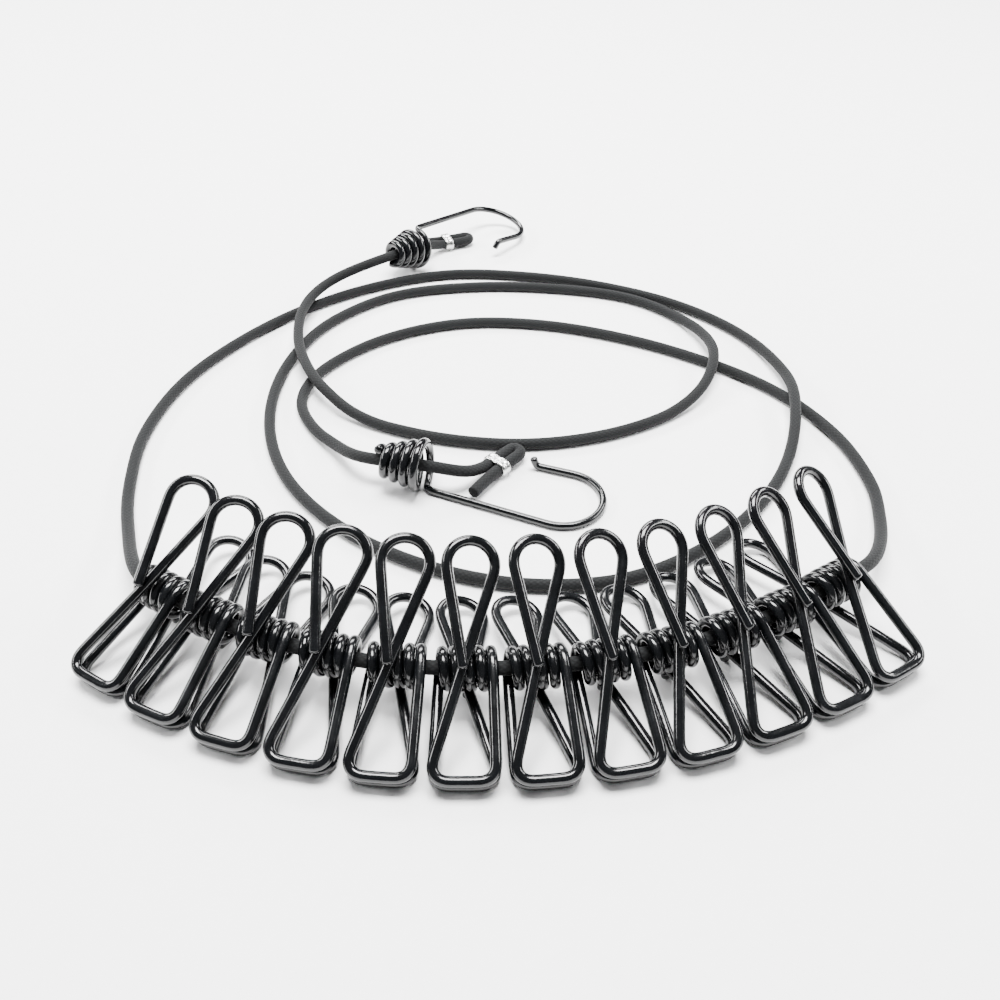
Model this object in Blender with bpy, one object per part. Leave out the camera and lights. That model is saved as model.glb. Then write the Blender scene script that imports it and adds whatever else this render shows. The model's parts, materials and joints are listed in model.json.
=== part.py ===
"""Elastic travel clothesline: a round elastic cord with a wire hook on each end and twelve
wire clips threaded on it, lying loosely on a flat surface.

Metres, +Z up. The surface is z = 0. The clips stand in a fan with their jaws towards -Y and
their handles towards +Y; the loose cord and both hooks lie behind them.
"""

from math import acos, atan2, cos, hypot, pi, radians, sin, tan

import bpy
import numpy as np
from mathutils import Matrix, Vector

# Clips: one bent wire each
CLIP_COUNT = 12
CLIP_WIRE = 0.0026          # wire diameter over its plastic coat
JAW_LENGTH = 0.0250         # from the coil to the jaw bar
JAW_WIDTH = 0.0138          # between the centres of the jaw's two legs
JAW_CORNER = 0.0030         # bend radius of the jaw's corners
HANDLE_LENGTH = 0.0274      # from the coil to the top of the loop
HANDLE_WIDTH = 0.0109       # between the centres of the loop's two sides
HANDLE_ANGLE = radians(18.3)  # each handle above or below the clip's middle plane
HANDLE_SHIFT = 0.0014       # the loop's centre to the right of the clip's middle
HANDLE_LIFT = 0.0009        # the loop's centre above the plane of the handle
HANDLE_TWIST = radians(17)  # the loop's left side is higher than its right one
CROSSING_SHIFT = -0.0002    # where the long leg crosses the coil, from the middle
CUT_END_SHIFT = -0.0003     # where the wire's cut end lies on the long leg
CUT_END_BACK = 0.0010       # how far in front of the coil's crown it ends
COIL_HALF_LENGTH = 0.0062   # middle of the coil to the centre of its last turn
COIL_FULL_TURNS = 4         # whole turns, and half a turn more
ARM_WRAP = radians(138)     # how much of the coil belongs to the moving arm
ARM_TRAVEL = radians(24)    # how far a squeeze turns the moving arm
WRAP_GAP = radians(16)      # left between arm and coil when it is squeezed
FIT_GAP = 0.0003            # left between pieces that touch

# The fan that the clips make
FAN_FOOT = (-0.00245, -0.1138)   # where the fan's arc comes nearest to the front
FAN_TURN = radians(0.95)
CLIP_PITCH = 0.0159         # from one clip to the next along the cord
LAYOUT_SCALE = CLIP_PITCH / 0.0159   # the whole layout grows with the row of clips
FAN_RADIUS = 0.1560 * LAYOUT_SCALE
CLIP_SKEW = radians(1.6)    # the arms are not quite square to the coil
CLIP_YAWS = (-1.2, -0.7, 0.5, 1.2, 1.1, 0.8, 0.1, -0.5, -1.1, -1.5, -2.2, -2.9)
CLIP_ROLLS = (0.5, 0.0, -0.6, -0.6, -0.2, 0.2, 0.6, 0.4, 0.4, 0.4, 1.0, 1.2)
CLIP_SETBACKS = (1.9, 0.8, 0.2, -0.2, -0.3, 0.0, 0.2, 0.2, 0.2, 0.5, 0.9, 1.5)  # inwards, mm

# Cord
CORD_DIAMETER = 0.0035
COIL_CLEARANCE = 0.00095    # from the cord to the coil round it
COIL_RADIUS = (CORD_DIAMETER + CLIP_WIRE) / 2 + COIL_CLEARANCE
CORD_FLOOR_GAP = 0.00005
CORD_STEP = 0.0235          # between the points of the cord's long runs

# Hooks: one bent wire each
HOOK_WIRE = 0.0022
HOOK_CONE_WIRE = 0.0028     # the coat is thicker on the coiled shank
HOOK_CONE_LENGTH = 0.0140
HOOK_CONE_TURNS = 4.5
HOOK_CONE_CLEARANCE = 0.00035
HOOK_CONE_SMALL = (CORD_DIAMETER + HOOK_CONE_WIRE) / 2 + HOOK_CONE_CLEARANCE
HOOK_CONE_LARGE = 0.0070    # turn radius at the shank
HOOK_CORNER = 0.0025
HOOK_SHANK = 0.0358
HOOK_BEND_RADIUS = 0.0118
HOOK_BEND = radians(184)
HOOK_RETURN = 0.0115
HOOK_TIP = 0.0024           # the turned-up tip

# Crimps
CRIMP_LENGTH = 0.0032
CRIMP_WALL = 0.0005
CRIMP_CLEARANCE = 0.00025
STRAND_GAP = 0.0003
FOLD_REACH = 0.0078         # crimp's middle to the centre of the fold
TAIL_SPREAD = 0.11          # how far a tail bends away from the run, per length

# Where the hooks and crimps lie: large end of the cone, then heading, tilt and roll, and how
# far the cone is bent off the shank's line
NEAR_HOOK = {"at": (-0.0212, -0.0367, 0.00815), "heading": radians(-23.5), "tilt": 0.0,
             "roll": 0.0, "cone_turn": radians(12)}
FAR_HOOK = {"at": (-0.0332, 0.1015, 0.0079), "heading": radians(55), "tilt": radians(9.6),
            "roll": radians(192.5), "cone_turn": 0.0}
NEAR_CRIMP = {"at": (-0.0009, -0.0291), "heading": radians(49), "run_side": 1, "tail": 0.0125}
FAR_CRIMP = {"at": (-0.0217, 0.1174), "heading": radians(22), "run_side": -1, "tail": 0.0060}

# The cord's free routes in millimetres, chosen by hand: x, y and height of its centre
FROM_FAR_CRIMP = [(-27.6, 109.7, 5.0)]
FAR_LOOPS = [
    (-48.6, 85.3, 9.7), (-55.0, 82.5, 8.4), (-60.4, 79.3, 7.3), (-65.6, 74.1, 6.3),
    (-69.9, 65.2, 5.7), (-71.4, 53.6, 5.7), (-70.7, 42.6, 5.7), (-68.9, 32.7, 5.7),
    (-65.2, 22, 5.7), (-59.6, 10.5, 5.6), (-54.2, 4.1, 4.5), (-48.8, -1.3, 3.0),
    (-37.6, -8.2, 1.8), (-16, -15.6, 1.8), (8, -18.1, 1.8), (32, -13.6, 1.8), (53, -3.1, 1.8),
    (66, 9.9, 3.6), (72.5, 26.6, 5.7), (71.5, 42.9, 3.9), (64, 58.9, 1.8), (47, 72.9, 1.8),
    (19, 79.9, 1.8), (-11, 80.9, 1.8), (-40, 73.9, 1.8), (-61, 54.9, 1.8), (-70.5, 33.9, 1.8),
    (-74, 10.9, 1.8), (-71, -14.1, 1.8), (-61, -37.1, 1.8), (-43, -57.1, 1.8), (-20, -71.1, 1.8),
    (6, -78.1, 1.8), (33, -76.1, 1.8), (57, -63.1, 1.8), (76, -43.6, 1.8), (88, -22.1, 2.6),
    (94, 1.4, 5.6), (94.6, 20.9, 3.4), (86.5, 44.9, 1.8), (66, 66.9, 1.8), (39, 81.4, 1.8),
    (10, 89.4, 1.8), (-20, 90.9, 1.8), (-48, 80.9, 1.8), (-72, 63.9, 1.8), (-91, 41.9, 1.8),
    (-105, 15.9, 1.8), (-110.3, -13.1, 1.8), (-107.7, -38.1, 1.8), (-104.8, -50.1, 2.2),
    (-100.6, -61.6, 4.2), (-96.6, -71.6, 7.0), (-92.8, -79.4, 9.7),
]
NEAR_LOOP = [
    (94.3, -78.3, 9.7), (99.6, -69.9, 7.0), (103.7, -60.1, 4.2), (106.7, -49.1, 2.2),
    (108.3, -38.1, 1.8), (104.2, -14.1, 1.8), (90, 10.9, 1.8), (68, 29.9, 1.8), (43, 43.9, 1.8),
    (15, 52.9, 1.8), (-14, 53.9, 1.8), (-41, 42.9, 1.8), (-60, 22.9, 1.8), (-64.5, 4.9, 1.8),
    (-58, -10.3, 1.8), (-49.6, -20.7, 3.4), (-43.6, -29.1, 6.4),
]
TO_NEAR_CRIMP = [(-13.0, -38.1, 7.3), (-9.0, -36.4, 5.6), (-6.3, -33.1, 3.8)]

WIRE_SIDES = 6
COIL_STEPS = 8              # straight pieces to a turn of a coil


def clear_scene():
    for item in list(bpy.data.objects):
        bpy.data.objects.remove(item)


def make_material(name, colour, roughness, metallic):
    material = bpy.data.materials.new(name)
    material.use_nodes = True
    shader = material.node_tree.nodes["Principled BSDF"]
    shader.inputs["Base Color"].default_value = (*colour, 1.0)
    shader.inputs["Roughness"].default_value = roughness
    shader.inputs["Metallic"].default_value = metallic
    material.diffuse_color = (*colour, 1.0)
    return material


def laid_out(point):
    """A point of the layout, which spreads and shrinks with the row of clips."""
    return Vector((point[0] * LAYOUT_SCALE, point[1] * LAYOUT_SCALE, point[2]))


def add_object(name, data, material, parent=None):
    data.materials.append(material)
    item = bpy.data.objects.new(name, data)
    bpy.context.scene.collection.objects.link(item)
    if parent:
        item.parent = parent
    return item


def wire_mesh(name, route, radius, sides=WIRE_SIDES):
    """A closed tube along route, a list of (centre, outward direction) pairs. A flat side of
    the tube faces each outward direction. radius is one value, or one for each point."""
    centres = [point for point, _ in route]
    radii = radius if isinstance(radius, list) else [radius] * len(route)
    vertices = []
    for index, (centre, outward) in enumerate(route):
        before = centres[max(index - 1, 0)]
        after = centres[min(index + 1, len(centres) - 1)]
        along = (after - before).normalized()
        across = along.cross(outward).normalized()
        up = across.cross(along)
        for side in range(sides):
            angle = 2 * pi * (side + 0.5) / sides
            vertices.append(centre + (up * cos(angle) + across * sin(angle)) * radii[index])
    faces = []
    for ring in range(len(route) - 1):
        for side in range(sides):
            turn = (side + 1) % sides
            low = ring * sides
            faces.append((low + side, low + turn, low + sides + turn, low + sides + side))
    faces.append(tuple(reversed(range(sides))))
    faces.append(tuple(range((len(route) - 1) * sides, len(route) * sides)))
    mesh = bpy.data.meshes.new(name)
    mesh.from_pydata(vertices, [], faces)
    mesh.shade_smooth()
    mesh.set_sharp_from_angle(angle=radians(70))
    return mesh


def arc_angles(start, end, steps):
    return [start + (end - start) * step / steps for step in range(steps + 1)]


def tangent_angle(point, centre, radius, sense):
    """Angle on a circle where the line from an outside point touches it."""
    across = (point[0] - centre[0], point[1] - centre[1])
    return atan2(across[1], across[0]) + sense * acos(radius / hypot(*across))


# A clip in its own frame: the coil's axis is X, the handles point to +Y, and the two arms
# mirror each other by half a turn about Y.
JAW_REACH = COIL_RADIUS + CLIP_WIRE + FIT_GAP     # coil's axis to the plane of an arm
JAW_HALF_GAP = (CLIP_WIRE + FIT_GAP) / 2
JAW_ANGLE = (acos(JAW_HALF_GAP / hypot(JAW_REACH, JAW_LENGTH))
             - atan2(JAW_LENGTH, JAW_REACH))


def on_arm(x, along, lift, angle):
    """A point of the upper arm, counted from where its long leg crosses the coil."""
    foot = Vector((0, -JAW_REACH * sin(JAW_ANGLE), JAW_REACH * cos(JAW_ANGLE)))
    outward = Vector((0, -sin(angle), cos(angle)))
    forward = Vector((0, cos(angle), sin(angle)))
    return foot + Vector((x, 0, 0)) + forward * along + outward * lift, outward


def on_coil(angle, first_angle, whole_angle):
    outward = Vector((0, sin(angle), cos(angle)))
    x = COIL_HALF_LENGTH * (1 - 2 * (angle - first_angle) / whole_angle)
    return Vector((x, 0, 0)) + outward * COIL_RADIUS, outward


def arm_route():
    """The upper arm from its cut end to the coil, and the angle where it meets the coil."""
    radius = HANDLE_WIDTH / 2
    loop = (HANDLE_SHIFT, HANDLE_LENGTH - radius)
    cut_end = (CUT_END_SHIFT, -CUT_END_BACK)
    crossing = (CROSSING_SHIFT, 0.0)
    left = tangent_angle(cut_end, loop, radius, -1) + 2 * pi
    right = tangent_angle(crossing, loop, radius, 1)
    route = [on_arm(*cut_end, CLIP_WIRE + FIT_GAP / 2, JAW_ANGLE)]
    for angle in arc_angles(left, right, 8):
        x = loop[0] + radius * cos(angle)
        lift = HANDLE_LIFT - (x - loop[0]) * tan(HANDLE_TWIST)
        route.append(on_arm(x, loop[1] + radius * sin(angle), lift, HANDLE_ANGLE))
    route.append(on_arm(*crossing, 0, (JAW_ANGLE + HANDLE_ANGLE) / 2))
    half = JAW_WIDTH / 2 - JAW_CORNER
    front = JAW_CORNER - JAW_LENGTH
    left = tangent_angle(crossing, (-half, front), JAW_CORNER, 1)
    for angle in arc_angles(left, 1.5 * pi, 3):
        route.append(on_arm(-half + JAW_CORNER * cos(angle), front + JAW_CORNER * sin(angle), 0,
                            JAW_ANGLE))
    right = tangent_angle((COIL_HALF_LENGTH, 0), (half, front), JAW_CORNER, -1)
    for angle in arc_angles(-0.5 * pi, right, 3):
        route.append(on_arm(half + JAW_CORNER * cos(angle), front + JAW_CORNER * sin(angle), 0,
                            JAW_ANGLE))
    start = route[-1][0]
    meets = pi / 2 - tangent_angle((start.y, start.z), (0, 0), COIL_RADIUS, -1)
    return route, meets


def clip_meshes():
    """The moving arm, and the coil with the arm that stays."""
    route, meets = arm_route()
    whole = 2 * pi * COIL_FULL_TURNS + pi - 2 * meets
    step = 2 * pi / COIL_STEPS
    wrap = [on_coil(angle, meets, whole)
            for angle in arc_angles(meets, meets + ARM_WRAP, round(ARM_WRAP / step))]
    starts = meets + ARM_WRAP + ARM_TRAVEL + WRAP_GAP
    ends = meets + whole
    coil = [on_coil(angle, meets, whole)
            for angle in arc_angles(starts, ends, round((ends - starts) / step))]
    half_turn = Matrix.Rotation(pi, 3, "Y")
    lower = [(half_turn @ point, half_turn @ outward) for point, outward in reversed(route)]
    moving = wire_mesh("clip_arm", route + wrap, CLIP_WIRE / 2)
    fixed = wire_mesh("clip_coil_and_arm", coil + lower, CLIP_WIRE / 2)
    return moving, fixed, lower


def resting_tilt(lower):
    """The tilt that brings the jaw bar and the rest of the lower arm down together."""
    bar = min((point for point, _ in lower), key=lambda point: point.y)
    slopes = [atan2(bar.z - point.z, point.y - bar.y)
              for point, _ in lower if point.y > bar.y + CLIP_WIRE]
    return max(slopes)


def pick(values, index):
    return values[index % len(values)]


def fan_angle(index):
    return (index - (CLIP_COUNT - 1) / 2) * CLIP_PITCH / FAN_RADIUS + FAN_TURN


def fan_point(index):
    angle = fan_angle(index)
    radius = FAN_RADIUS - 0.001 * pick(CLIP_SETBACKS, index)
    foot = laid_out((*FAN_FOOT, 0))
    return foot + Vector((radius * sin(angle), FAN_RADIUS - radius * cos(angle), 0))


def add_clips(coat):
    """Twelve clips on the cord. Returns the middle of each coil."""
    moving, fixed, lower = clip_meshes()
    tilt = resting_tilt(lower)
    middles = []
    for index in range(CLIP_COUNT):
        yaw = fan_angle(index) + CLIP_SKEW + radians(pick(CLIP_YAWS, index))
        roll = radians(pick(CLIP_ROLLS, index))
        turn = (Matrix.Rotation(yaw, 3, "Z") @ Matrix.Rotation(tilt, 3, "X")
                @ Matrix.Rotation(roll, 3, "Y"))
        middle = fan_point(index)
        middle.z = -min((turn @ vertex.co).z for vertex in fixed.vertices)
        name = f"clip_{index + 1:02d}"
        pivot = bpy.data.objects.new(f"{name}_pivot", None)
        bpy.context.scene.collection.objects.link(pivot)
        pivot.matrix_world = Matrix.Translation(middle) @ turn.to_4x4()
        add_object(f"{name}_upper_arm", moving if index == 0 else moving.copy(), coat, pivot)
        add_object(f"{name}_coil_and_lower_arm", fixed if index == 0 else fixed.copy(), coat,
                   pivot)
        middles.append(middle)
    return middles


def hook_route(cone_turn):
    """A hook in its own frame: the shank's cone ends at the origin, and the open hook lies
    beyond it. cone_turn is how far the cone stands off the shank's line."""
    route = []
    sideways = Matrix.Rotation(cone_turn, 3, "Z")
    first = pi - 2 * pi * HOOK_CONE_TURNS
    for angle in arc_angles(first, pi, round(COIL_STEPS * HOOK_CONE_TURNS)):
        share = (angle - first) / (pi - first)
        radius = HOOK_CONE_SMALL + (HOOK_CONE_LARGE - HOOK_CONE_SMALL) * share
        outward = sideways @ Vector((0, sin(angle), cos(angle)))
        x = HOOK_CONE_LENGTH * (share - 1)
        route.append((sideways @ Vector((x, 0, 0)) + outward * radius, outward))
    down = Vector((0, 0, -1))
    corner = route[-1][0] + sideways @ Vector((HOOK_CORNER, 0, 0))
    for angle in arc_angles(pi + cone_turn, 1.5 * pi, 3)[1:]:
        route.append((corner + Vector((cos(angle), sin(angle), 0)) * HOOK_CORNER, down))
    centre = route[-1][0] + Vector((HOOK_SHANK, HOOK_BEND_RADIUS, 0))
    for angle in arc_angles(-0.5 * pi, HOOK_BEND - 0.5 * pi, 9):
        route.append((centre + Vector((cos(angle), sin(angle), 0)) * HOOK_BEND_RADIUS, down))
    back = Vector((cos(HOOK_BEND), sin(HOOK_BEND), 0))
    end = route[-1][0] + back * HOOK_RETURN
    route.append((end, (down + back * 0.4).normalized()))
    route.append((end + back * HOOK_WIRE * 0.4 + Vector((0, 0, HOOK_TIP)), -back))
    return route


def hook_radii(route):
    """The wire's radius at each point: thick on the cone, thin from its last quarter turn on."""
    thick = round(COIL_STEPS * (HOOK_CONE_TURNS - 0.25))
    return [(HOOK_CONE_WIRE if index < thick else HOOK_WIRE) / 2 for index in range(len(route))]


def hook_frame(place):
    turn = (Matrix.Rotation(place["heading"], 3, "Z") @ Matrix.Rotation(place["tilt"], 3, "Y")
            @ Matrix.Rotation(place["roll"], 3, "X"))
    return Matrix.Translation(laid_out(place["at"])) @ turn.to_4x4()


def crimp_frame(place):
    half_height = CORD_DIAMETER / 2 + CRIMP_CLEARANCE + CRIMP_WALL
    centre = laid_out((*place["at"], half_height + CORD_FLOOR_GAP))
    return Matrix.Translation(centre) @ Matrix.Rotation(place["heading"], 4, "Z")


def crimp_mesh():
    """A flattened ring round two strands of cord, its bore along X."""
    strand = (CORD_DIAMETER + STRAND_GAP) / 2
    bore = CORD_DIAMETER / 2 + CRIMP_CLEARANCE
    rings = []
    for radius in (bore + CRIMP_WALL, bore):
        for x in (-CRIMP_LENGTH / 2, CRIMP_LENGTH / 2):
            ring = []
            for step in range(16):
                angle = 2 * pi * (step + 0.5) / 16
                shift = strand if cos(angle) > 0 else -strand
                ring.append((x, shift + radius * cos(angle), radius * sin(angle)))
            rings.append(ring)
    vertices = [point for ring in rings for point in ring]
    faces = []
    for low, high in ((0, 1), (1, 3), (3, 2), (2, 0)):
        for step in range(16):
            turn = (step + 1) % 16
            faces.append((low * 16 + step, low * 16 + turn, high * 16 + turn, high * 16 + step))
    mesh = bpy.data.meshes.new("crimp")
    mesh.from_pydata(vertices, [], faces)
    mesh.shade_smooth()
    mesh.set_sharp_from_angle(angle=radians(40))
    return mesh


def fold_route(side, tail):
    """The cord's end in a crimp's frame: round the fold, back through the crimp, and its tail.
    side is +1 where the cord's long run comes in on the crimp's left."""
    strand = (CORD_DIAMETER + STRAND_GAP) / 2
    up = Vector((0, 0, 1))
    route = [(Vector((CRIMP_LENGTH / 2 + 2 * FIT_GAP, side * strand, 0)), up)]
    for angle in arc_angles(pi / 2, -pi / 2, 8):
        route.append((Vector((FOLD_REACH + strand * cos(angle), side * strand * sin(angle), 0)),
                      up))
    route.append((Vector((-CRIMP_LENGTH / 2, -side * strand, 0)), up))
    for share in (0.35, 0.7, 1.0):
        spread = strand + tail * TAIL_SPREAD * share ** 1.5
        route.append((Vector((-CRIMP_LENGTH / 2 - tail * share, -side * spread, 0)), up))
    return route


def smooth_curve(points):
    """Points about CORD_STEP apart, read from a curve that runs through all of points."""
    points = [np.array(point, dtype=float) for point in points]
    ends = [2 * points[0] - points[1], 2 * points[-1] - points[-2]]
    padded = [ends[0], *points, ends[1]]
    result = []
    for before, start, end, after in zip(padded, padded[1:], padded[2:], padded[3:]):
        span = np.linalg.norm(end - start)
        pieces = max(1, round(span / CORD_STEP))
        leave = (end - before) * span / (span + np.linalg.norm(start - before))
        arrive = (after - start) * span / (span + np.linalg.norm(after - end))
        for piece in range(pieces):
            t = piece / pieces
            result.append(start * (2 * t**3 - 3 * t**2 + 1) + end * (3 * t**2 - 2 * t**3)
                          + leave * (t**3 - 2 * t**2 + t) + arrive * (t**3 - t**2))
    result.append(points[-1])
    floor = CORD_DIAMETER / 2 + CORD_FLOOR_GAP
    for point in result:
        point[2] = max(point[2], floor)
    return result


def in_metres(route):
    return [laid_out([value * 0.001 for value in point]) for point in route]


def cone_ends(place):
    """On the axis of a hook's cone: outside its small end, inside it, and past its large end."""
    frame = hook_frame(place) @ Matrix.Rotation(place["cone_turn"], 4, "Z")
    return [frame @ Vector((x, 0, 0)) for x in (-HOOK_CONE_LENGTH - HOOK_CONE_WIRE,
                                                -HOOK_CONE_LENGTH * 0.7,
                                                HOOK_CORNER + HOOK_WIRE)]


def strand_ends(place):
    """Where the long run comes into a crimp and where it ends in it."""
    frame = crimp_frame(place)
    y = place["run_side"] * (CORD_DIAMETER + STRAND_GAP) / 2
    return (frame @ Vector((-CRIMP_LENGTH / 2 - CORD_DIAMETER / 2, y, 0)),
            frame @ Vector((CRIMP_LENGTH / 2 + FIT_GAP, y, 0)))


def cord_points(coil_middles):
    """The whole elastic cord from one crimp to the other, through every coil."""
    far_in, far_end = strand_ends(FAR_CRIMP)
    near_in, near_end = strand_ends(NEAR_CRIMP)
    far_cone = reversed(cone_ends(FAR_HOOK))
    near_cone = cone_ends(NEAR_HOOK)
    half_coil = COIL_HALF_LENGTH + CLIP_WIRE / 2
    first_way = (coil_middles[1] - coil_middles[0]).normalized()
    last_way = (coil_middles[-1] - coil_middles[-2]).normalized()
    return smooth_curve([
        far_end, far_in, *in_metres(FROM_FAR_CRIMP), *far_cone, *in_metres(FAR_LOOPS),
        coil_middles[0] - first_way * half_coil, *coil_middles,
        coil_middles[-1] + last_way * half_coil, *in_metres(NEAR_LOOP), *near_cone,
        *in_metres(TO_NEAR_CRIMP), near_in, near_end,
    ])


def add_cord(points, cloth):
    curve = bpy.data.curves.new("elastic_cord", "CURVE")
    curve.dimensions = "3D"
    curve.bevel_depth = CORD_DIAMETER / 2
    curve.bevel_resolution = 2
    curve.use_fill_caps = True
    spline = curve.splines.new("POLY")
    spline.points.add(len(points) - 1)
    for place, point in zip(spline.points, points):
        place.co = (*point, 1)
    spline.use_smooth = True
    add_object("elastic_cord", curve, cloth)


def add_hook_end(name, hook_place, crimp_place, coat, steel, cloth):
    route = hook_route(hook_place["cone_turn"])
    hook = add_object(f"{name}_hook", wire_mesh(f"{name}_hook", route, hook_radii(route)), coat)
    hook.matrix_world = hook_frame(hook_place)
    crimp = add_object(f"{name}_crimp", crimp_mesh(), steel)
    crimp.matrix_world = crimp_frame(crimp_place)
    route = fold_route(crimp_place["run_side"], crimp_place["tail"])
    fold = add_object(f"{name}_cord_fold", wire_mesh(f"{name}_cord_fold", route,
                                                     CORD_DIAMETER / 2, 8), cloth)
    fold.matrix_world = crimp_frame(crimp_place)


def main():
    clear_scene()
    coat = make_material("black_plastic_coat", (0.012, 0.013, 0.015), 0.22, 0.0)
    cloth = make_material("charcoal_cord_cover", (0.045, 0.050, 0.052), 0.85, 0.0)
    steel = make_material("bright_crimp_steel", (0.62, 0.62, 0.60), 0.30, 1.0)
    middles = add_clips(coat)
    add_cord(cord_points(middles), cloth)
    add_hook_end("near", NEAR_HOOK, NEAR_CRIMP, coat, steel, cloth)
    add_hook_end("far", FAR_HOOK, FAR_CRIMP, coat, steel, cloth)


main()
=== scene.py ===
"""How the elastic travel clothesline looks: round coated wire clips and hooks, a braided elastic
cord through them, and bright crimps, on a white table.

Metres, +Z up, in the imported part's frame. Lengths below repeat the part's own sizes.
"""

import json
from math import acos, atan2, cos, hypot, pi, radians, sin, tan

import bpy
import numpy as np
from mathutils import Matrix, Vector

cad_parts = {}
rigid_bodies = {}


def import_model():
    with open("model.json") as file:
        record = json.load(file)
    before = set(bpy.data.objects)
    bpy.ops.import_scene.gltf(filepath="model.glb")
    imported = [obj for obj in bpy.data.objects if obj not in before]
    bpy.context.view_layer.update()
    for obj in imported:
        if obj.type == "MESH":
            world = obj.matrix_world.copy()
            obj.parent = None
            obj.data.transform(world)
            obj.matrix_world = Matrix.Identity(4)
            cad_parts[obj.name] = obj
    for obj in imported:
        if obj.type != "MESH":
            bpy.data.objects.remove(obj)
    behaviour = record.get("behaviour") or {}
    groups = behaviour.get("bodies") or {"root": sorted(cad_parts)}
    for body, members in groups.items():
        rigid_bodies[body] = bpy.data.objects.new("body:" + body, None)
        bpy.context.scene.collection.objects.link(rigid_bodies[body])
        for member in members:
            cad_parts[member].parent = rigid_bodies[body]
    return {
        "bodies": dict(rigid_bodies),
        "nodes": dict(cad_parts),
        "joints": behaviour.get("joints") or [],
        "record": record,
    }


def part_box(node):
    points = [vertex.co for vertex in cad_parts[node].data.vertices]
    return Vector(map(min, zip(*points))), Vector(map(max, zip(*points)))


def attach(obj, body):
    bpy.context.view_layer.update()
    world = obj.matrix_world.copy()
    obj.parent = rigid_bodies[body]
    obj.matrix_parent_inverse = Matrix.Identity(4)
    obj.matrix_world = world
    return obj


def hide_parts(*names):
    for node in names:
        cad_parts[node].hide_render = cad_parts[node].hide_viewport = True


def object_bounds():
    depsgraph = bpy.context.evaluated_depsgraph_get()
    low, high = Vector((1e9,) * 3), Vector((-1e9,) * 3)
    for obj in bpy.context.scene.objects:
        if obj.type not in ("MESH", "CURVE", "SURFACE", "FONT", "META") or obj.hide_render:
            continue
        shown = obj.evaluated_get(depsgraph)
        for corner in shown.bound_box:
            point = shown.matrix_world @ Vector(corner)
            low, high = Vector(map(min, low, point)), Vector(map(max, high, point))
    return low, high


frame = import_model()
CAD_LOW, CAD_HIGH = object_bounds()

ROOT = "line_hooks_and_lower_arms"

# Clips
CLIP_COUNT = 12
CLIP_WIRE = 0.0026
JAW_LENGTH = 0.0250
JAW_WIDTH = 0.0138
JAW_CORNER = 0.0030
HANDLE_LENGTH = 0.0274
HANDLE_WIDTH = 0.0109
HANDLE_ANGLE = radians(18.3)
HANDLE_SHIFT = 0.0014
HANDLE_LIFT = 0.0009
HANDLE_TWIST = radians(17)
CROSSING_SHIFT = -0.0002
CUT_END_SHIFT = -0.0003
CUT_END_BACK = 0.0010
COIL_RADIUS = 0.0040
COIL_HALF_LENGTH = 0.0062
COIL_FULL_TURNS = 4
ARM_WRAP = radians(138)
ARM_TRAVEL = radians(24)
WRAP_GAP = radians(16)
FIT_GAP = 0.0003
COIL_OVERLAP = radians(58)   # how far the coil's first turn runs on inside the moving arm's

# The fan of clips
FAN_RADIUS = 0.1560
FAN_FOOT = (-0.00245, -0.1138)
FAN_TURN = radians(0.95)
CLIP_PITCH = 0.0159
CLIP_SKEW = radians(1.6)
CLIP_YAWS = (-1.2, -0.7, 0.5, 1.2, 1.1, 0.8, 0.1, -0.5, -1.1, -1.5, -2.2, -2.9)
CLIP_ROLLS = (0.5, 0.0, -0.6, -0.6, -0.2, 0.2, 0.6, 0.4, 0.4, 0.4, 1.0, 1.2)
CLIP_SETBACKS = (1.9, 0.8, 0.2, -0.2, -0.3, 0.0, 0.2, 0.2, 0.2, 0.5, 0.9, 1.5)

# Cord
CORD_DIAMETER = 0.0035
CORD_FLOOR_GAP = 0.00005
CORD_STEP = 0.0010

# Hooks
HOOK_WIRE = 0.0022
HOOK_CONE_WIRE = 0.0028
HOOK_CONE_LENGTH = 0.0140
HOOK_CONE_TURNS = 4.5
HOOK_CONE_SMALL = 0.0035
HOOK_CONE_LARGE = 0.0070
HOOK_CORNER = 0.0025
HOOK_SHANK = 0.0358
HOOK_BEND_RADIUS = 0.0118
HOOK_BEND = radians(184)
HOOK_RETURN = 0.0115
HOOK_TIP = 0.0024

# Crimps
CRIMP_LENGTH = 0.0032
CRIMP_WALL = 0.0005
CRIMP_CLEARANCE = 0.00025
STRAND_GAP = 0.0003
FOLD_REACH = 0.0078
TAIL_SPREAD = 0.11

# Where the hooks and crimps lie. cone_turn is how far a cone is bent off its shank's line.
NEAR_HOOK = {"at": (-0.0212, -0.0367, 0.00815), "heading": radians(-23.5), "tilt": 0.0,
             "roll": 0.0, "cone_turn": radians(12)}
FAR_HOOK = {"at": (-0.0332, 0.1015, 0.0079), "heading": radians(55), "tilt": radians(9.6),
            "roll": radians(192.5), "cone_turn": 0.0}
NEAR_CRIMP = {"at": (-0.0009, -0.0291), "heading": radians(49), "run_side": 1, "tail": 0.0125}
FAR_CRIMP = {"at": (-0.0217, 0.1174), "heading": radians(22), "run_side": -1, "tail": 0.0060}

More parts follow.
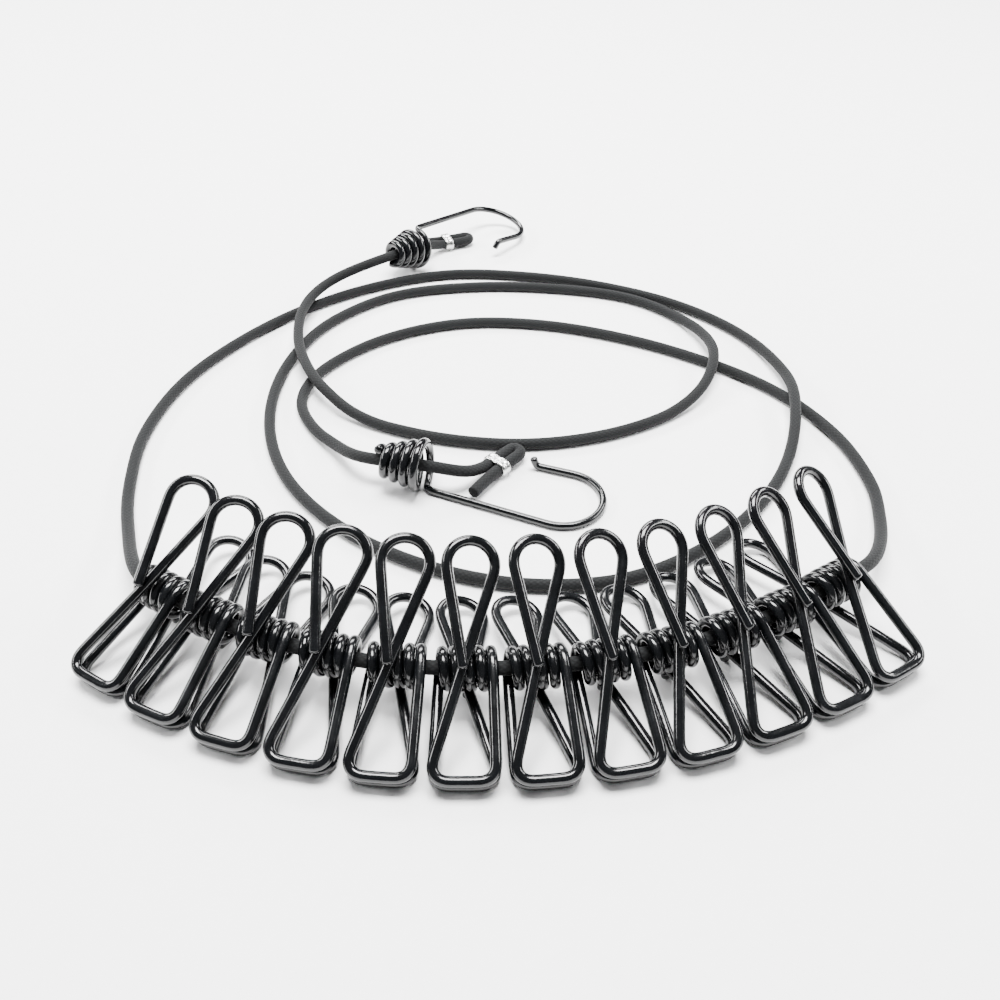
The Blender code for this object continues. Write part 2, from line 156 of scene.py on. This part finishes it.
# The cord's free routes in millimetres: x, y and height of its centre. They repeat the part's.
FROM_FAR_CRIMP = [(-27.6, 109.7, 5.0)]
FAR_LOOPS = [
    (-48.6, 85.3, 9.7), (-55.0, 82.5, 8.4), (-60.4, 79.3, 7.3), (-65.6, 74.1, 6.3),
    (-69.9, 65.2, 5.7), (-71.4, 53.6, 5.7), (-70.7, 42.6, 5.7), (-68.9, 32.7, 5.7),
    (-65.2, 22, 5.7), (-59.6, 10.5, 5.6), (-54.2, 4.1, 4.5), (-48.8, -1.3, 3.0),
    (-37.6, -8.2, 1.8), (-16, -15.6, 1.8), (8, -18.1, 1.8), (32, -13.6, 1.8), (53, -3.1, 1.8),
    (66, 9.9, 3.6), (72.5, 26.6, 5.7), (71.5, 42.9, 3.9), (64, 58.9, 1.8), (47, 72.9, 1.8),
    (19, 79.9, 1.8), (-11, 80.9, 1.8), (-40, 73.9, 1.8), (-61, 54.9, 1.8), (-70.5, 33.9, 1.8),
    (-74, 10.9, 1.8), (-71, -14.1, 1.8), (-61, -37.1, 1.8), (-43, -57.1, 1.8), (-20, -71.1, 1.8),
    (6, -78.1, 1.8), (33, -76.1, 1.8), (57, -63.1, 1.8), (76, -43.6, 1.8), (88, -22.1, 2.6),
    (94, 1.4, 5.6), (94.6, 20.9, 3.4), (86.5, 44.9, 1.8), (66, 66.9, 1.8), (39, 81.4, 1.8),
    (10, 89.4, 1.8), (-20, 90.9, 1.8), (-48, 80.9, 1.8), (-72, 63.9, 1.8), (-91, 41.9, 1.8),
    (-105, 15.9, 1.8), (-110.3, -13.1, 1.8), (-107.7, -38.1, 1.8), (-104.8, -50.1, 2.2),
    (-100.6, -61.6, 4.2), (-96.6, -71.6, 7.0), (-92.8, -79.4, 9.7),
]
NEAR_LOOP = [
    (94.3, -78.3, 9.7), (99.6, -69.9, 7.0), (103.7, -60.1, 4.2), (106.7, -49.1, 2.2),
    (108.3, -38.1, 1.8), (104.2, -14.1, 1.8), (90, 10.9, 1.8), (68, 29.9, 1.8), (43, 43.9, 1.8),
    (15, 52.9, 1.8), (-14, 53.9, 1.8), (-41, 42.9, 1.8), (-60, 22.9, 1.8), (-64.5, 4.9, 1.8),
    (-58, -10.3, 1.8), (-49.6, -20.7, 3.4), (-43.6, -29.1, 6.4),
]
TO_NEAR_CRIMP = [(-13.0, -38.1, 7.3), (-9.0, -36.4, 5.6), (-6.3, -33.1, 3.8)]

# Camera
CAMERA_AT = (0.0, -0.2581, 0.1850)
CAMERA_PITCH = radians(40.6)
CAMERA_LENS = 35.46

TUBE_SIDES = 20
WIRE_STEP = 0.00045          # between the rings of a wire's mesh
FOLD_STEP = 0.0004
CAP_ANGLES = (0.4, 0.85, 1.25, 1.5)   # rings that round off a tube's end
TABLE_REACH = 3.0


# ---------------------------------------------------------------- lines


def arc_angles(start, end, steps):
    return [start + (end - start) * step / steps for step in range(steps + 1)]


def tangent_angle(point, centre, radius, sense):
    """Angle on a circle where the line from an outside point touches it."""
    across = (point[0] - centre[0], point[1] - centre[1])
    return atan2(across[1], across[0]) + sense * acos(radius / hypot(*across))


def resample(line, step):
    """The same line with points about step apart."""
    line = np.array([tuple(point) for point in line], float)
    reach = np.concatenate([[0], np.cumsum(np.linalg.norm(np.diff(line, axis=0), axis=1))])
    wanted = np.linspace(0, reach[-1], max(2, round(reach[-1] / step)))
    return np.stack([np.interp(wanted, reach, line[:, axis]) for axis in range(3)], axis=1)


def soften(line, rounds, hold=0):
    """Rounds off every small corner. The last hold points stay where they are."""
    line = line.copy()
    end = len(line) - hold
    for _ in range(rounds):
        middle = (line[:-2] + 2 * line[1:-1] + line[2:]) / 4
        line[1:end - 1] = middle[:end - 2]
    return line


JAW_REACH = COIL_RADIUS + CLIP_WIRE + FIT_GAP
JAW_HALF_GAP = (CLIP_WIRE + FIT_GAP) / 2
JAW_ANGLE = (acos(JAW_HALF_GAP / hypot(JAW_REACH, JAW_LENGTH))
             - atan2(JAW_LENGTH, JAW_REACH))


def on_arm(x, along, lift, angle):
    """A point of the upper arm, counted from where its long leg crosses the coil."""
    foot = Vector((0, -JAW_REACH * sin(JAW_ANGLE), JAW_REACH * cos(JAW_ANGLE)))
    outward = Vector((0, -sin(angle), cos(angle)))
    forward = Vector((0, cos(angle), sin(angle)))
    return foot + Vector((x, 0, 0)) + forward * along + outward * lift


def on_coil(angle, first_angle, whole_angle):
    x = COIL_HALF_LENGTH * (1 - 2 * (angle - first_angle) / whole_angle)
    return Vector((x, COIL_RADIUS * sin(angle), COIL_RADIUS * cos(angle)))


def arm_route(arc_steps=16):
    """The upper arm from its cut end to the coil, and the angle where it meets the coil."""
    radius = HANDLE_WIDTH / 2
    loop = (HANDLE_SHIFT, HANDLE_LENGTH - radius)
    cut_end = (CUT_END_SHIFT, -CUT_END_BACK)
    crossing = (CROSSING_SHIFT, 0.0)
    left = tangent_angle(cut_end, loop, radius, -1) + 2 * pi
    right = tangent_angle(crossing, loop, radius, 1)
    route = [on_arm(*cut_end, CLIP_WIRE + FIT_GAP / 2, JAW_ANGLE)]
    for angle in arc_angles(left, right, 2 * arc_steps):
        x = loop[0] + radius * cos(angle)
        lift = HANDLE_LIFT - (x - loop[0]) * tan(HANDLE_TWIST)
        route.append(on_arm(x, loop[1] + radius * sin(angle), lift, HANDLE_ANGLE))
    route.append(on_arm(*crossing, 0, (JAW_ANGLE + HANDLE_ANGLE) / 2))
    half = JAW_WIDTH / 2 - JAW_CORNER
    front = JAW_CORNER - JAW_LENGTH
    left = tangent_angle(crossing, (-half, front), JAW_CORNER, 1)
    right = tangent_angle((COIL_HALF_LENGTH, 0), (half, front), JAW_CORNER, -1)
    for centre, first, last in ((-half, left, 1.5 * pi), (half, -0.5 * pi, right)):
        for angle in arc_angles(first, last, arc_steps // 2):
            route.append(on_arm(centre + JAW_CORNER * cos(angle),
                                front + JAW_CORNER * sin(angle), 0, JAW_ANGLE))
    start = route[-1]
    meets = pi / 2 - tangent_angle((start.y, start.z), (0, 0), COIL_RADIUS, -1)
    return route, meets


def resting_tilt(route):
    """The tilt that brings the jaw bar and the rest of the lower arm down together."""
    lower = [Vector((-point.x, point.y, -point.z)) for point in route]
    bar = min(lower, key=lambda point: point.y)
    return max(atan2(bar.z - point.z, point.y - bar.y)
               for point in lower if point.y > bar.y + CLIP_WIRE)


def clip_lines():
    """Centrelines of the moving arm and of the coil with the arm that stays."""
    route, meets = arm_route()
    whole = 2 * pi * COIL_FULL_TURNS + pi - 2 * meets
    wrap = [on_coil(angle, meets, whole)
            for angle in arc_angles(meets, meets + ARM_WRAP, 24)]
    moving = soften(resample(route + wrap, WIRE_STEP), 12, hold=round(0.006 / WIRE_STEP))
    starts = meets + ARM_WRAP + ARM_TRAVEL + WRAP_GAP - COIL_OVERLAP
    coil = [on_coil(angle, meets, whole)
            for angle in arc_angles(starts, meets + whole, 200)]
    lower = [Vector((-point.x, point.y, -point.z)) for point in reversed(route)]
    fixed = resample(coil + lower, WIRE_STEP)
    fixed = soften(fixed[::-1], 12, hold=round(0.080 / WIRE_STEP))[::-1]
    return moving, fixed, route


def hook_line(cone_turn):
    """A hook in its own frame: the shank's cone ends at the origin, and the open hook lies
    beyond it. cone_turn is how far the cone stands off the shank's line."""
    route = []
    sideways = Matrix.Rotation(cone_turn, 3, "Z")
    first = pi - 2 * pi * HOOK_CONE_TURNS
    for angle in arc_angles(first, pi, round(48 * HOOK_CONE_TURNS)):
        share = (angle - first) / (pi - first)
        radius = HOOK_CONE_SMALL + (HOOK_CONE_LARGE - HOOK_CONE_SMALL) * share
        route.append(sideways @ Vector((HOOK_CONE_LENGTH * (share - 1), radius * sin(angle),
                                        radius * cos(angle))))
    corner = route[-1] + sideways @ Vector((HOOK_CORNER, 0, 0))
    for angle in arc_angles(pi + cone_turn, 1.5 * pi, 10)[1:]:
        route.append(corner + Vector((cos(angle), sin(angle), 0)) * HOOK_CORNER)
    centre = route[-1] + Vector((HOOK_SHANK, HOOK_BEND_RADIUS, 0))
    for angle in arc_angles(-0.5 * pi, HOOK_BEND - 0.5 * pi, 40):
        route.append(centre + Vector((cos(angle), sin(angle), 0)) * HOOK_BEND_RADIUS)
    back = Vector((cos(HOOK_BEND), sin(HOOK_BEND), 0))
    end = route[-1] + back * HOOK_RETURN
    route += [end, end + back * HOOK_WIRE * 0.4 + Vector((0, 0, HOOK_TIP))]
    return soften(resample(route, WIRE_STEP), 6)


def fold_line(side, tail):
    """The cord's end in a crimp's frame: round the fold, back through the crimp, and its tail."""
    strand = (CORD_DIAMETER + STRAND_GAP) / 2
    route = [(CRIMP_LENGTH / 2 + 2 * FIT_GAP, side * strand, 0)]
    for angle in arc_angles(pi / 2, -pi / 2, 24):
        route.append((FOLD_REACH + strand * cos(angle), side * strand * sin(angle), 0))
    route.append((-CRIMP_LENGTH / 2, -side * strand, 0))
    for share in (0.35, 0.7, 1.0):
        route.append((-CRIMP_LENGTH / 2 - tail * share,
                      -side * (strand + tail * TAIL_SPREAD * share ** 1.5), 0))
    return soften(resample(route, FOLD_STEP), 4)


def smooth_curve(points):
    """Points about CORD_STEP apart, read from a curve that runs through all of points."""
    points = [np.array(point, dtype=float) for point in points]
    ends = [2 * points[0] - points[1], 2 * points[-1] - points[-2]]
    padded = [ends[0], *points, ends[1]]
    result = []
    for before, start, end, after in zip(padded, padded[1:], padded[2:], padded[3:]):
        span = np.linalg.norm(end - start)
        pieces = max(1, round(span / CORD_STEP))
        leave = (end - before) * span / (span + np.linalg.norm(start - before))
        arrive = (after - start) * span / (span + np.linalg.norm(after - end))
        for piece in range(pieces):
            t = piece / pieces
            result.append(start * (2 * t**3 - 3 * t**2 + 1) + end * (3 * t**2 - 2 * t**3)
                          + leave * (t**3 - 2 * t**2 + t) + arrive * (t**3 - t**2))
    result.append(points[-1])
    line = soften(np.array(result), 30)
    line[:, 2] = np.maximum(line[:, 2], CORD_DIAMETER / 2 + CORD_FLOOR_GAP)
    return line


# ---------------------------------------------------------------- places


def hook_place(place):
    turn = (Matrix.Rotation(place["heading"], 3, "Z") @ Matrix.Rotation(place["tilt"], 3, "Y")
            @ Matrix.Rotation(place["roll"], 3, "X"))
    return Matrix.Translation(place["at"]) @ turn.to_4x4()


def crimp_place(place):
    half_height = CORD_DIAMETER / 2 + CRIMP_CLEARANCE + CRIMP_WALL
    centre = Vector((*place["at"], half_height + CORD_FLOOR_GAP))
    return Matrix.Translation(centre) @ Matrix.Rotation(place["heading"], 4, "Z")


def clip_places(route):
    """Each clip's matrix. A clip stands with its lower arm on the table, as the part's does."""
    tilt = resting_tilt(route)
    places = []
    for index in range(CLIP_COUNT):
        angle = (index - (CLIP_COUNT - 1) / 2) * CLIP_PITCH / FAN_RADIUS + FAN_TURN
        radius = FAN_RADIUS - 0.001 * CLIP_SETBACKS[index]
        turn = (Matrix.Rotation(angle + CLIP_SKEW + radians(CLIP_YAWS[index]), 3, "Z")
                @ Matrix.Rotation(tilt, 3, "X")
                @ Matrix.Rotation(radians(CLIP_ROLLS[index]), 3, "Y"))
        low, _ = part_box(f"clip_{index + 1:02d}_coil_and_lower_arm")
        middle = Vector((FAN_FOOT[0] + radius * sin(angle),
                         FAN_FOOT[1] + FAN_RADIUS - radius * cos(angle), 0))
        lowest = min((turn @ Vector((-point.x, point.y, -point.z))).z for point in route)
        middle.z = low.z + CLIP_WIRE / 2 - lowest
        places.append(Matrix.Translation(middle) @ turn.to_4x4())
    return places


def cone_points(place):
    """On the axis of a hook's cone: outside its small end, inside it, and past its large end."""
    frame = hook_place(place) @ Matrix.Rotation(place["cone_turn"], 4, "Z")
    return [frame @ Vector((x, 0, 0)) for x in (-HOOK_CONE_LENGTH - HOOK_CONE_WIRE,
                                                -HOOK_CONE_LENGTH * 0.7,
                                                HOOK_CORNER + HOOK_WIRE)]


def cord_line(clips):
    far, near = crimp_place(FAR_CRIMP), crimp_place(NEAR_CRIMP)
    strand = (CORD_DIAMETER + STRAND_GAP) / 2
    far_y, near_y = FAR_CRIMP["run_side"] * strand, NEAR_CRIMP["run_side"] * strand
    entry, stop = -CRIMP_LENGTH / 2 - CORD_DIAMETER / 2, CRIMP_LENGTH / 2 + FIT_GAP
    middles = [matrix.translation for matrix in clips]
    half_coil = COIL_HALF_LENGTH + CLIP_WIRE / 2
    first_way = (middles[1] - middles[0]).normalized()
    last_way = (middles[-1] - middles[-2]).normalized()
    in_metres = [[tuple(value * 0.001 for value in point) for point in route]
                 for route in (FROM_FAR_CRIMP, FAR_LOOPS, NEAR_LOOP, TO_NEAR_CRIMP)]
    return smooth_curve([
        far @ Vector((stop, far_y, 0)), far @ Vector((entry, far_y, 0)), *in_metres[0],
        *reversed(cone_points(FAR_HOOK)), *in_metres[1], middles[0] - first_way * half_coil,
        *middles, middles[-1] + last_way * half_coil, *in_metres[2], *cone_points(NEAR_HOOK),
        *in_metres[3], near @ Vector((entry, near_y, 0)), near @ Vector((stop, near_y, 0)),
    ])


# ---------------------------------------------------------------- meshes


def tube(name, line, radius, ends=0.5, radii=None):
    """A round tube along line. UV runs once round in U and in metres along V. ends is how
    rounded each end is, from 0 (sawn off) to 1 (a half ball)."""
    line = np.asarray(line, float)
    along = np.gradient(line, axis=0)
    along /= np.linalg.norm(along, axis=1)[:, None]
    first = np.cross(along[0], (0, 0, 1))
    if np.linalg.norm(first) < 0.1:
        first = np.cross(along[0], (0, 1, 0))
    across = [first / np.linalg.norm(first)]
    for way in along[1:]:
        side = across[-1] - way * across[-1].dot(way)
        across.append(side / np.linalg.norm(side))
    across = np.array(across)
    up = np.cross(across, along)
    size = np.full(len(line), radius) if radii is None else np.asarray(radii, float)
    reach = np.concatenate([[0], np.cumsum(np.linalg.norm(np.diff(line, axis=0), axis=1))])
    rings = [(line[i], across[i], up[i], size[i], reach[i]) for i in range(len(line))]
    for angle in CAP_ANGLES:
        out, shrink = ends * radius * sin(angle), cos(angle)
        rings.insert(0, (line[0] - along[0] * out, across[0], up[0], size[0] * shrink, -out))
        rings.append((line[-1] + along[-1] * out, across[-1], up[-1], size[-1] * shrink,
                      reach[-1] + out))
    sides = TUBE_SIDES
    turn = 2 * pi * np.arange(sides) / sides
    vertices = [centre + (np.outer(np.cos(turn), a) + np.outer(np.sin(turn), b)) * wide
                for centre, a, b, wide, _ in rings]
    faces, uvs = [], []
    for ring in range(len(rings) - 1):
        for side in range(sides):
            after = (side + 1) % sides
            low, high = ring * sides, (ring + 1) * sides
            faces.append((low + side, low + after, high + after, high + side))
            left, right = side / sides, (side + 1) / sides
            start, end = rings[ring][4], rings[ring + 1][4]
            uvs += [(left, start), (right, start), (right, end), (left, end)]
    faces.append(tuple(reversed(range(sides))))
    faces.append(tuple(range((len(rings) - 1) * sides, len(rings) * sides)))
    uvs += [(side / sides, rings[0][4]) for side in reversed(range(sides))]
    uvs += [(side / sides, rings[-1][4]) for side in range(sides)]
    mesh = bpy.data.meshes.new(name)
    mesh.from_pydata(np.concatenate(vertices).tolist(), [], faces)
    layer = mesh.uv_layers.new(name="Length")
    layer.data.foreach_set("uv", np.array(uvs, np.float32).ravel())
    mesh.shade_smooth()
    mesh.set_sharp_from_angle(angle=radians(60))
    return mesh


def crimp_shape():
    """A band rolled flat round two strands: soft edges, a pressed waist and a butt seam."""
    strand = (CORD_DIAMETER + STRAND_GAP) / 2
    bore = CORD_DIAMETER / 2 + CRIMP_CLEARANCE * 0.4
    half = CRIMP_LENGTH / 2
    wall = CRIMP_WALL + CRIMP_CLEARANCE * 0.5
    profile = [(-half + 0.0002, bore), (-half, bore + wall * 0.35),
               (-half + 0.00012, bore + wall * 0.8)]
    for step in range(13):
        x = (-half + 0.0004) + (2 * half - 0.0008) * step / 12
        waist = 0.00012 * cos(pi * x / half / 1.1) ** 2 if abs(x) < half * 0.55 else 0
        profile.append((x, bore + wall - waist))
    profile += [(half - 0.00012, bore + wall * 0.8), (half, bore + wall * 0.35),
                (half - 0.0002, bore)]
    sides = 64
    vertices, faces = [], []
    for x, radius in profile:
        for step in range(sides):
            angle = 2 * pi * (step + 0.5) / sides
            seam = 0.00022 if step in (15, 16) and radius > bore else 0
            shift = strand * np.clip(cos(angle) * 2.2, -1, 1)
            vertices.append((x, shift + (radius - seam) * cos(angle), (radius - seam) * sin(angle)))
    for ring in range(len(profile)):
        low, high = ring * sides, ((ring + 1) % len(profile)) * sides
        for step in range(sides):
            turn = (step + 1) % sides
            faces.append((low + step, low + turn, high + turn, high + step))
    mesh = bpy.data.meshes.new("crimp")
    mesh.from_pydata(vertices, [], faces)
    mesh.flip_normals()
    mesh.shade_smooth()
    mesh.set_sharp_from_angle(angle=radians(50))
    return mesh


# ---------------------------------------------------------------- materials


def hex_colour(text):
    """An sRGB hex colour as Blender's linear RGBA."""
    values = [int(text[i:i + 2], 16) / 255 for i in (0, 2, 4)]
    return (*[v / 12.92 if v <= 0.04045 else ((v + 0.055) / 1.055) ** 2.4 for v in values], 1.0)


class Finish:
    """A material being made: add() puts in a node, its settings and what feeds its inputs."""

    def __init__(self, name):
        self.material = bpy.data.materials.new(name)
        self.material.use_nodes = True
        self.tree = self.material.node_tree
        self.shader = self.tree.nodes["Principled BSDF"]

    def feed(self, node, inputs):
        for key, value in inputs.items():
            if isinstance(value, bpy.types.NodeSocket):
                self.tree.links.new(value, node.inputs[key])
            else:
                node.inputs[key].default_value = value

    def add(self, kind, inputs=None, output=0, **settings):
        node = self.tree.nodes.new(kind)
        for key, value in settings.items():
            setattr(node, key, value)
        self.feed(node, inputs or {})
        return node.outputs[output]

    def maths(self, operation, first, second=0.0):
        return self.add("ShaderNodeMath", {0: first, 1: second}, operation=operation)

    def ramp(self, value, stops):
        """A colour ramp through (place, hex colour) stops."""
        node = self.tree.nodes.new("ShaderNodeValToRGB")
        elements = node.color_ramp.elements
        while len(elements) < len(stops):
            elements.new(0.5)
        for element, (place, colour) in zip(elements, stops):
            element.position = place
            element.color = hex_colour(colour)
        self.tree.links.new(value, node.inputs[0])
        return node.outputs[0]

    def spread(self, value, low, high, from_low=0.0, from_high=1.0):
        return self.add("ShaderNodeMapRange", {"Value": value, "From Min": from_low,
                                               "From Max": from_high, "To Min": low,
                                               "To Max": high})

    def surface(self, **inputs):
        self.feed(self.shader, {key.replace("_", " "): value for key, value in inputs.items()})
        return self.material


def noise(finish, place, size, detail=3.0, shift=0.0):
    """Noise whose spots are about size metres across."""
    return finish.add("ShaderNodeTexNoise", {"Vector": place, "W": shift, "Scale": 1 / size,
                                             "Detail": detail, "Roughness": 0.55},
                      noise_dimensions="4D")


def wire_coat_finish():
    """Glossy black polypropylene dip coat: near black, sharp long highlights, a faint ripple
    along the wire, soft handling haze and a few fine rubs."""
    finish = Finish("black_polypropylene_dip_coat")
    place = finish.add("ShaderNodeTexCoord", output=3)
    lot = finish.add("ShaderNodeObjectInfo", output=5)
    shift = finish.maths("MULTIPLY", lot, 7.0)
    haze = noise(finish, place, 0.0060, 4.0, shift)
    ripple = noise(finish, place, 0.0016, 2.0, shift)
    pits = noise(finish, place, 0.00030, 2.0, shift)
    colour = finish.ramp(haze, [(0.30, "050607"), (0.55, "090A0C"), (0.80, "101214")])
    rough = finish.maths("ADD", finish.spread(haze, 0.10, 0.22, 0.3, 0.75),
                         finish.spread(pits, 0.0, 0.06, 0.55, 0.75))
    ripples = finish.add("ShaderNodeBump", {"Height": ripple, "Strength": 0.25,
                                            "Distance": 0.00022})
    bump = finish.add("ShaderNodeBump", {"Height": pits, "Strength": 0.10,
                                         "Distance": 0.00005, "Normal": ripples})
    return finish.surface(Base_Color=colour, Roughness=rough, Normal=bump, IOR=1.49)


def braid_finish():
    """Braided polyester cover over rubber: matte charcoal with a cool cast and a fine
    over-and-under weave; painted shade darkens the colour between the strands, so the strand crowns
    read lighter."""
    finish = Finish("braided_polyester_cord_cover")
    coordinates = finish.add("ShaderNodeUVMap", uv_map="Length")
    parts = finish.tree.nodes.new("ShaderNodeSeparateXYZ")
    finish.tree.links.new(coordinates, parts.inputs[0])
    around = finish.maths("MULTIPLY", parts.outputs[0], 9.0)
    along = finish.maths("MULTIPLY", parts.outputs[1], 1 / 0.0017)
    right = finish.maths("ADD", around, along)
    left = finish.maths("SUBTRACT", around, along)
    ridges = []
    for way in (right, left):
        part = finish.maths("FRACT", way)
        ridges.append(finish.maths("SINE", finish.maths("MULTIPLY", part, pi)))
    count = finish.maths("ADD", finish.maths("FLOOR", right), finish.maths("FLOOR", left))
    over = finish.maths("PINGPONG", count, 1.0)
    first = finish.maths("MULTIPLY", ridges[0], finish.spread(ridges[1], 0.45, 1.0))
    second = finish.maths("MULTIPLY", ridges[1], finish.spread(ridges[0], 0.45, 1.0))
    weave = finish.add("ShaderNodeMix", {0: over, 2: first, 3: second}, data_type="FLOAT")
    place = finish.add("ShaderNodeTexCoord", output=3)
    fluff = noise(finish, place, 0.00025, 3.0)
    patches = noise(finish, place, 0.010, 3.0)
    height = finish.maths("ADD", weave, finish.maths("MULTIPLY", fluff, 0.35))
    # painted shade: the colour follows the weave's height, darkest in the grooves between strands
    # and lightest on the crowns
    painted_groove_shade = finish.ramp(weave, [(0.10, "050607"), (0.50, "0A0B0C"), (0.95, "101213")])
    tint = finish.spread(patches, 0.85, 1.15, 0.3, 0.7)
    colour = finish.add("ShaderNodeHueSaturation", {"Value": tint, "Color": painted_groove_shade})
    bump = finish.add("ShaderNodeBump", {"Height": height, "Strength": 0.7,
                                         "Distance": 0.00012})
    return finish.surface(Base_Color=colour, Roughness=0.86, Normal=bump, Sheen_Weight=0.04,
                          Sheen_Roughness=0.5, Specular_IOR_Level=0.25)


def crimp_finish():
    """Rolled tin-plated steel: bright, slightly streaked round the band, dulled in patches."""
    finish = Finish("tin_plated_crimp_steel")
    place = finish.add("ShaderNodeTexCoord", output=3)
    stretched = finish.add("ShaderNodeMapping", {"Vector": place, "Scale": (9.0, 1.0, 1.0)})
    streaks = noise(finish, stretched, 0.0012, 4.0)
    patches = noise(finish, place, 0.0015, 3.0)
    colour = finish.ramp(patches, [(0.30, "C0C1BF"), (0.60, "D2D2CF"), (0.85, "E0DFDB")])
    rough = finish.spread(streaks, 0.22, 0.36, 0.35, 0.7)
    bump = finish.add("ShaderNodeBump", {"Height": streaks, "Strength": 0.10,
                                         "Distance": 0.00003})
    return finish.surface(Base_Color=colour, Roughness=rough, Normal=bump, Metallic=1.0)


def table_finish():
    """Matt white laminate that takes soft contact shadows."""
    finish = Finish("matt_white_table")
    place = finish.add("ShaderNodeTexCoord", output=3)
    grain = noise(finish, place, 0.004, 2.0)
    colour = finish.ramp(grain, [(0.2, "FBFBFB"), (0.8, "FEFEFE")])
    return finish.surface(Base_Color=colour, Roughness=0.75, Specular_IOR_Level=0.2)


# ---------------------------------------------------------------- the object


def add_piece(name, mesh, matrix, material, body, node):
    if not mesh.materials:
        mesh.materials.append(material)
    item = bpy.data.objects.new(name, mesh)
    bpy.context.scene.collection.objects.link(item)
    item.matrix_world = matrix
    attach(item, body)
    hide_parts(node)
    return item


def add_camera():
    camera = bpy.data.objects.new("camera", bpy.data.cameras.new("camera"))
    bpy.context.scene.collection.objects.link(camera)
    camera.location = CAMERA_AT
    camera.rotation_euler = (pi / 2 - CAMERA_PITCH, 0, 0)
    camera.data.lens = CAMERA_LENS
    camera.data.sensor_width = 36.0
    camera.data.clip_start = 0.01
    bpy.context.scene.camera = camera


def add_cord(clips, cloth):
    """The elastic cord's long run, with a folded end at each crimp."""
    line = cord_line(clips)
    cord = add_piece("elastic_cord_cover", tube("cord", line, CORD_DIAMETER / 2, 0.1),
                     Matrix.Identity(4), cloth, ROOT, "elastic_cord")
    for end, place in (("near", NEAR_CRIMP), ("far", FAR_CRIMP)):
        shape = tube(f"{end}_fold", fold_line(place["run_side"], place["tail"]),
                     CORD_DIAMETER / 2, 0.25)
        add_piece(f"{end}_folded_end", shape, crimp_place(place), cloth, ROOT,
                               f"{end}_cord_fold")


def add_clips(places, lines, coat):
    moving_line, fixed_line, _ = lines
    moving = tube("clip_arm", moving_line, CLIP_WIRE / 2)
    inside = round(COIL_OVERLAP * COIL_RADIUS / WIRE_STEP)
    radii = np.full(len(fixed_line), CLIP_WIRE / 2)
    radii[:inside] *= np.linspace(0.97, 0.99, inside)
    fixed = tube("clip_coil_and_arm", fixed_line, CLIP_WIRE / 2, radii=radii)
    for index, matrix in enumerate(places):
        name = f"clip_{index + 1:02d}"
        add_piece(f"{name}_upper_wire", moving, matrix, coat, f"{name}_arm",
                  f"{name}_upper_arm")
        add_piece(f"{name}_lower_wire", fixed, matrix, coat, ROOT,
                  f"{name}_coil_and_lower_arm")


def add_ends(coat, steel):
    last_turn = HOOK_CONE_LENGTH / HOOK_CONE_TURNS / 2
    crimp = crimp_shape()
    for end, hook_at, crimp_at in (("near", NEAR_HOOK, NEAR_CRIMP), ("far", FAR_HOOK, FAR_CRIMP)):
        line = hook_line(hook_at["cone_turn"])
        along = line @ (cos(hook_at["cone_turn"]), sin(hook_at["cone_turn"]), 0)
        radii = np.interp(along, (-last_turn, 0), (HOOK_CONE_WIRE / 2, HOOK_WIRE / 2))
        hook = tube(f"{end}_hook", line, HOOK_WIRE / 2, radii=radii)
        add_piece(f"{end}_hook_wire", hook, hook_place(hook_at), coat, ROOT, f"{end}_hook")
        add_piece(f"{end}_crimp_band", crimp, crimp_place(crimp_at), steel, ROOT,
                  f"{end}_crimp")


def add_light(name, at, aim, size, power):
    data = bpy.data.lights.new(name, "AREA")
    data.shape = "RECTANGLE"
    data.size, data.size_y = size
    data.energy = power
    light = bpy.data.objects.new(name, data)
    bpy.context.scene.collection.objects.link(light)
    light.location = at
    light.rotation_mode = "QUATERNION"
    light.rotation_quaternion = (Vector(aim) - Vector(at)).to_track_quat("-Z", "Y")


def add_studio():
    mesh = bpy.data.meshes.new("table")
    corners = [(-1, -1), (1, -1), (1, 1), (-1, 1)]
    mesh.from_pydata([(x * TABLE_REACH, y * TABLE_REACH, 0) for x, y in corners], [],
                     [(0, 1, 2, 3)])
    mesh.materials.append(table_finish())
    table = bpy.data.objects.new("table", mesh)
    bpy.context.scene.collection.objects.link(table)
    table.location.z = CAD_LOW.z - 0.00002
    world = bpy.data.worlds.new("studio")
    world.use_nodes = True
    world.node_tree.nodes["Background"].inputs[0].default_value = hex_colour("F4F6F8")
    world.node_tree.nodes["Background"].inputs[1].default_value = 0.20
    bpy.context.scene.world = world
    add_light("overhead", (0.0, 0.15, 1.05), (0, 0.02, 0), (0.7, 0.45), 54)
    add_light("back_bank", (-0.20, 1.15, 0.85), (0, 0, 0), (1.0, 0.30), 30)
    add_light("left_bank", (-0.95, 0.25, 0.55), (0, 0, 0), (0.9, 0.16), 15)
    add_light("right_bank", (0.95, 0.25, 0.60), (0, 0, 0), (0.9, 0.16), 15)


def main():
    lines = clip_lines()
    places = clip_places(lines[2])
    add_camera()
    add_cord(places, braid_finish())
    coat = wire_coat_finish()
    add_clips(places, lines, coat)
    add_ends(coat, crimp_finish())
    add_studio()


main()
